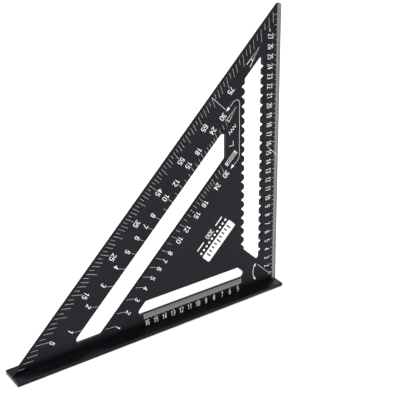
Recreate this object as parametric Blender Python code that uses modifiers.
"""Rafter square (speed square), 300 mm, black anodised aluminium.

A right-angled triangular blade stands on edge along the middle of a flat fence bar,
with its foot let into a shallow groove in the fence's top face.

Frame: +Z up, origin under the middle of the fence.  The fence runs along X, the pivot
corner and the upright ruler edge are at +X, and the marked face looks towards -Y.
On the blade, "run" is the distance from the ruler edge towards the toe, and "rise" is
the height above the fence's top face.
"""
import math

import bmesh
import bpy
from mathutils import Vector

MM = 0.001

# Fence bar
FENCE_LENGTH = 304.2 * MM
FENCE_WIDTH = 27.0 * MM
FENCE_THICKNESS = 3.7 * MM
FENCE_EDGE_ROUNDING = 0.8 * MM

# Blade plate
BLADE_THICKNESS = 3.6 * MM
BLADE_HEIGHT = 300.0 * MM
TOE_RUN = FENCE_LENGTH
TIP_OUTER_RADIUS = 2.0 * MM
TIP_INNER_RADIUS = 1.0 * MM

# Milled reading edges
BEVEL_DEPTH = 0.55 * MM
RULER_BEVEL_WIDTH = 5.05 * MM
SLOT_BEVEL_FOOT_RISE = 10.1 * MM
SLOT_BEVEL_RUN_LOW = 45.5 * MM
SLOT_BEVEL_RUN_HIGH = 163.8 * MM

# The blade's foot in the fence's groove
FIT_GAP = 0.3 * MM
FOOT_DEPTH = 1.5 * MM

# Long window parallel to the long edge
WINDOW_OUTER_SUM = 253.55 * MM
WINDOW_INNER_SUM = 220.8 * MM
WINDOW_FOOT_RISE = 10.3 * MM
WINDOW_HEAD_RUN = 64.9 * MM
WINDOW_RADIUS = 4.0 * MM

# Ruler slot above the fence
RULER_SLOT_TOP_RISE = 29.65 * MM
RULER_SLOT_FOOT_RISE = 15.67 * MM
RULER_SLOT_TOE_SUM = 190.35 * MM
RULER_SLOT_HEEL_OFFSET = 20.6 * MM
RULER_SLOT_HEEL_RUN = 41.9 * MM
RULER_SLOT_TOE_RADIUS = 4.0 * MM
RULER_SLOT_SMALL_RADIUS = 1.2 * MM
RULER_SLOT_HEEL_RADIUS = 3.0 * MM

# Notched scribing slot beside the ruler edge
SCRIBE_NEAR_RUN = 21.7 * MM
SCRIBE_FAR_RUN = 42.4 * MM
SCRIBE_HEAD_SUM = 275.9 * MM
SCRIBE_FOOT_OFFSET = 6.5 * MM
SCRIBE_TIP_RADIUS = 2.2 * MM
SCRIBE_SHOULDER_RADIUS = 1.5 * MM
NOTCH_PITCH = 10.0 * MM
NOTCH_CORNER_RADIUS = 1.4 * MM
NEAR_NOTCH_DEPTH = 3.5 * MM
NEAR_NOTCH_HALF = 2.4 * MM
NEAR_NOTCH_FIRST = 40.4 * MM
NEAR_NOTCH_COUNT = 21
FAR_NOTCH_DEPTH = 3.7 * MM
FAR_NOTCH_BELOW = 3.7 * MM
FAR_NOTCH_ABOVE = 2.4 * MM
FAR_NOTCH_FIRST = 56.0 * MM
FAR_NOTCH_COUNT = 18

ARC_STEP = math.radians(18.0)
CUTTER_MARGIN = 5.0 * MM
WELD_DISTANCE = 0.00001


def clear_scene():
    for old in list(bpy.data.objects):
        bpy.data.objects.remove(old, do_unlink=True)


def new_collection(name):
    collection = bpy.data.collections.new(name)
    bpy.context.scene.collection.children.link(collection)
    return collection


def anodised_aluminium(name, value):
    """Dark anodised aluminium: a half-metallic black with a satin surface."""
    material = bpy.data.materials.new(name)
    material.use_nodes = True
    shader = material.node_tree.nodes["Principled BSDF"]
    shader.inputs["Base Color"].default_value = (value, value, value * 1.1, 1.0)
    shader.inputs["Metallic"].default_value = 0.6
    shader.inputs["Roughness"].default_value = 0.42
    material.diffuse_color = (value, value, value * 1.1, 1.0)
    return material


def on_blade(run, rise):
    """Blade point in X and Z from its run and rise."""
    return Vector((FENCE_LENGTH / 2 - run, FENCE_THICKNESS + rise))


def rounded(corners):
    """Outline points from (point, radius) corners, each corner swept by a tangent arc."""
    points = []
    count = len(corners)
    for index, (corner, radius) in enumerate(corners):
        if radius == 0.0:
            points.append(corner)
            continue
        to_last = (corners[index - 1][0] - corner).normalized()
        to_next = (corners[(index + 1) % count][0] - corner).normalized()
        half_angle = to_last.angle(to_next) / 2
        bisector = (to_last + to_next).normalized()
        centre = corner + bisector * (radius / math.sin(half_angle))
        start = corner + to_last * (radius / math.tan(half_angle)) - centre
        sweep = math.pi - 2 * half_angle
        if to_last.x * to_next.y - to_last.y * to_next.x > 0:
            sweep = -sweep
        steps = max(1, math.ceil(abs(sweep) / ARC_STEP))
        for step in range(steps + 1):
            turn = sweep * step / steps
            cosine, sine = math.cos(turn), math.sin(turn)
            points.append(centre + Vector((start.x * cosine - start.y * sine,
                                           start.x * sine + start.y * cosine)))
    return points


def plate(name, outlines, thickness, collection, upright=True, centre=0.0):
    """Flat plate from closed outlines, the later ones being holes, as a welded mesh.

    An upright plate has its outline in X and Z and is centred on Y = centre.  Otherwise
    the outline is in Y and Z, and the plate is centred on X = centre.
    """
    curve = bpy.data.curves.new(name + "_outline", "CURVE")
    curve.dimensions = "2D"
    curve.fill_mode = "BOTH"
    curve.extrude = thickness / 2
    for outline in outlines:
        spline = curve.splines.new("POLY")
        spline.points.add(len(outline) - 1)
        for target, point in zip(spline.points, outline):
            target.co = (point[0], point[1], 0.0, 1.0)
        spline.use_cyclic_u = True
    guide = bpy.data.objects.new(name + "_outline", curve)
    collection.objects.link(guide)
    if upright:
        guide.rotation_euler = (math.pi / 2, 0.0, 0.0)
        guide.location = (0.0, centre, 0.0)
    else:
        guide.rotation_euler = (math.pi / 2, 0.0, math.pi / 2)
        guide.location = (centre, 0.0, 0.0)
    bpy.context.view_layer.update()
    evaluated = guide.evaluated_get(bpy.context.evaluated_depsgraph_get())
    mesh = bpy.data.meshes.new_from_object(evaluated)
    mesh.name = name
    solid = bpy.data.objects.new(name, mesh)
    solid.matrix_world = guide.matrix_world.copy()
    bpy.data.objects.remove(guide, do_unlink=True)
    bpy.data.curves.remove(curve)
    shape = bmesh.new()
    shape.from_mesh(mesh)
    bmesh.ops.remove_doubles(shape, verts=shape.verts, dist=WELD_DISTANCE)
    bmesh.ops.recalc_face_normals(shape, faces=shape.faces)
    shape.to_mesh(mesh)
    shape.free()
    collection.objects.link(solid)
    return solid


def block(name, low, high, collection):
    """Axis-aligned box between two corners."""
    mesh = bpy.data.meshes.new(name)
    shape = bmesh.new()
    bmesh.ops.create_cube(shape, size=1.0)
    size = [top - bottom for bottom, top in zip(low, high)]
    middle = [(top + bottom) / 2 for bottom, top in zip(low, high)]
    bmesh.ops.scale(shape, vec=size, verts=shape.verts)
    bmesh.ops.translate(shape, vec=middle, verts=shape.verts)
    shape.to_mesh(mesh)
    shape.free()
    solid = bpy.data.objects.new(name, mesh)
    collection.objects.link(solid)
    return solid


def cut(solid, cutter):
    """Take the cutter's shape out of the solid, and keep the cutter as a hidden guide."""
    cutter.hide_render = True
    cutter.display_type = "WIRE"
    modifier = solid.modifiers.new(cutter.name, "BOOLEAN")
    modifier.operation = "DIFFERENCE"
    modifier.object = cutter


def blade_edge():
    """Outer edge of the blade: a right-angled triangle, its tip cut level, on its foot."""
    tip_run = TOE_RUN - BLADE_HEIGHT
    corners = [
        (on_blade(0.0, -FOOT_DEPTH), 0.0),
        (on_blade(0.0, BLADE_HEIGHT), TIP_OUTER_RADIUS),
        (on_blade(tip_run, BLADE_HEIGHT), TIP_INNER_RADIUS),
        (on_blade(TOE_RUN, 0.0), 0.0),
        (on_blade(TOE_RUN, -FOOT_DEPTH), 0.0),
    ]
    return rounded(corners)


def window_edge():
    """Four-sided window whose long sides run parallel to the long edge."""
    sides = [
        (WINDOW_OUTER_SUM - WINDOW_FOOT_RISE, WINDOW_FOOT_RISE),
        (WINDOW_HEAD_RUN, WINDOW_OUTER_SUM - WINDOW_HEAD_RUN),
        (WINDOW_HEAD_RUN, WINDOW_INNER_SUM - WINDOW_HEAD_RUN),
        (WINDOW_INNER_SUM - WINDOW_FOOT_RISE, WINDOW_FOOT_RISE),
    ]
    return rounded([(on_blade(run, rise), WINDOW_RADIUS) for run, rise in sides])


def ruler_slot_edge():
    """Slot parallel to the fence, pointed at the toe end and chamfered at the heel."""
    top, foot = RULER_SLOT_TOP_RISE, RULER_SLOT_FOOT_RISE
    heel_rise = RULER_SLOT_HEEL_RUN - RULER_SLOT_HEEL_OFFSET
    corners = [
        (on_blade(RULER_SLOT_TOE_SUM - foot, foot), RULER_SLOT_TOE_RADIUS),
        (on_blade(RULER_SLOT_TOE_SUM - top, top), RULER_SLOT_SMALL_RADIUS),
        (on_blade(top + RULER_SLOT_HEEL_OFFSET, top), RULER_SLOT_SMALL_RADIUS),
        (on_blade(RULER_SLOT_HEEL_RUN, heel_rise), RULER_SLOT_HEEL_RADIUS),
        (on_blade(RULER_SLOT_HEEL_RUN, foot), RULER_SLOT_HEEL_RADIUS),
    ]
    return rounded(corners)


def scribing_slot_edge():
    """Upright slot with V notches on both sides, one in each centimetre."""
    corners = [
        (on_blade(SCRIBE_NEAR_RUN, SCRIBE_NEAR_RUN + SCRIBE_FOOT_OFFSET), SCRIBE_TIP_RADIUS),
        (on_blade(SCRIBE_FAR_RUN, SCRIBE_FAR_RUN + SCRIBE_FOOT_OFFSET), SCRIBE_SHOULDER_RADIUS),
    ]
    for number in range(FAR_NOTCH_COUNT):
        rise = FAR_NOTCH_FIRST + number * NOTCH_PITCH
        corners += [
            (on_blade(SCRIBE_FAR_RUN, rise - FAR_NOTCH_BELOW), NOTCH_CORNER_RADIUS),
            (on_blade(SCRIBE_FAR_RUN + FAR_NOTCH_DEPTH, rise), 0.0),
            (on_blade(SCRIBE_FAR_RUN, rise + FAR_NOTCH_ABOVE), NOTCH_CORNER_RADIUS),
        ]
    corners += [
        (on_blade(SCRIBE_FAR_RUN, SCRIBE_HEAD_SUM - SCRIBE_FAR_RUN), SCRIBE_SHOULDER_RADIUS),
        (on_blade(SCRIBE_NEAR_RUN, SCRIBE_HEAD_SUM - SCRIBE_NEAR_RUN), SCRIBE_TIP_RADIUS),
    ]
    for number in reversed(range(NEAR_NOTCH_COUNT)):
        rise = NEAR_NOTCH_FIRST + number * NOTCH_PITCH
        corners += [
            (on_blade(SCRIBE_NEAR_RUN, rise + NEAR_NOTCH_HALF), NOTCH_CORNER_RADIUS),
            (on_blade(SCRIBE_NEAR_RUN - NEAR_NOTCH_DEPTH, rise), 0.0),
            (on_blade(SCRIBE_NEAR_RUN, rise - NEAR_NOTCH_HALF), NOTCH_CORNER_RADIUS),
        ]
    return rounded(corners)


def ruler_bevel_cutter(side, collection):
    """Wedge that mills the reading bevel along the upright edge, on one face."""
    slope = BEVEL_DEPTH / RULER_BEVEL_WIDTH
    edge = FENCE_LENGTH / 2
    inner = edge - RULER_BEVEL_WIDTH
    outer = edge + CUTTER_MARGIN
    face = BLADE_THICKNESS / 2
    depth = slope * (outer - inner)
    profile = [(inner, side * face), (outer, side * (face - depth)),
               (outer, side * (face + CUTTER_MARGIN)), (inner, side * (face + CUTTER_MARGIN))]
    name = "ruler_bevel_%s" % ("front" if side < 0 else "back")
    height = BLADE_HEIGHT + 2 * CUTTER_MARGIN
    wedge = plate(name, [profile], height, collection)
    wedge.rotation_euler = (0.0, 0.0, 0.0)
    wedge.location = (0.0, 0.0, FENCE_THICKNESS + height / 2)
    return wedge


def slot_bevel_cutter(collection):
    """Wedge that mills the reading bevel below the ruler slot, on the front face."""
    face = -BLADE_THICKNESS / 2
    foot = FENCE_THICKNESS + SLOT_BEVEL_FOOT_RISE
    slope = BEVEL_DEPTH / (RULER_SLOT_FOOT_RISE - SLOT_BEVEL_FOOT_RISE)
    head = FENCE_THICKNESS + RULER_SLOT_FOOT_RISE + CUTTER_MARGIN
    depth = slope * (head - foot)
    profile = [(face, foot), (face + depth, head), (face - CUTTER_MARGIN, head),
               (face - CUTTER_MARGIN, foot)]
    width = SLOT_BEVEL_RUN_HIGH - SLOT_BEVEL_RUN_LOW
    middle = FENCE_LENGTH / 2 - (SLOT_BEVEL_RUN_HIGH + SLOT_BEVEL_RUN_LOW) / 2
    return plate("slot_bevel", [profile], width, collection, upright=False, centre=middle)


def make_blade(parts, cutters, material):
    outlines = [blade_edge(), window_edge(), ruler_slot_edge(), scribing_slot_edge()]
    blade = plate("blade", outlines, BLADE_THICKNESS, parts)
    blade.data.materials.append(material)
    cut(blade, ruler_bevel_cutter(-1, cutters))
    cut(blade, ruler_bevel_cutter(1, cutters))
    cut(blade, slot_bevel_cutter(cutters))


def make_fence(parts, cutters, material):
    half = FENCE_LENGTH / 2
    fence = block("fence", (-half, -FENCE_WIDTH / 2, 0.0),
                  (half, FENCE_WIDTH / 2, FENCE_THICKNESS), parts)
    fence.data.materials.append(material)
    edges = fence.modifiers.new("soft_edges", "BEVEL")
    edges.width = FENCE_EDGE_ROUNDING
    edges.segments = 3
    reach = half + CUTTER_MARGIN
    wall = BLADE_THICKNESS / 2 + FIT_GAP
    floor = FENCE_THICKNESS - FOOT_DEPTH - FIT_GAP
    cut(fence, block("fence_groove", (-reach, -wall, floor),
                     (reach, wall, FENCE_THICKNESS + CUTTER_MARGIN), cutters))


clear_scene()
part_collection = new_collection("speed_square")
cutter_collection = new_collection("cutters")
make_blade(part_collection, cutter_collection, anodised_aluminium("anodised_blade", 0.022))
make_fence(part_collection, cutter_collection, anodised_aluminium("anodised_fence", 0.018))
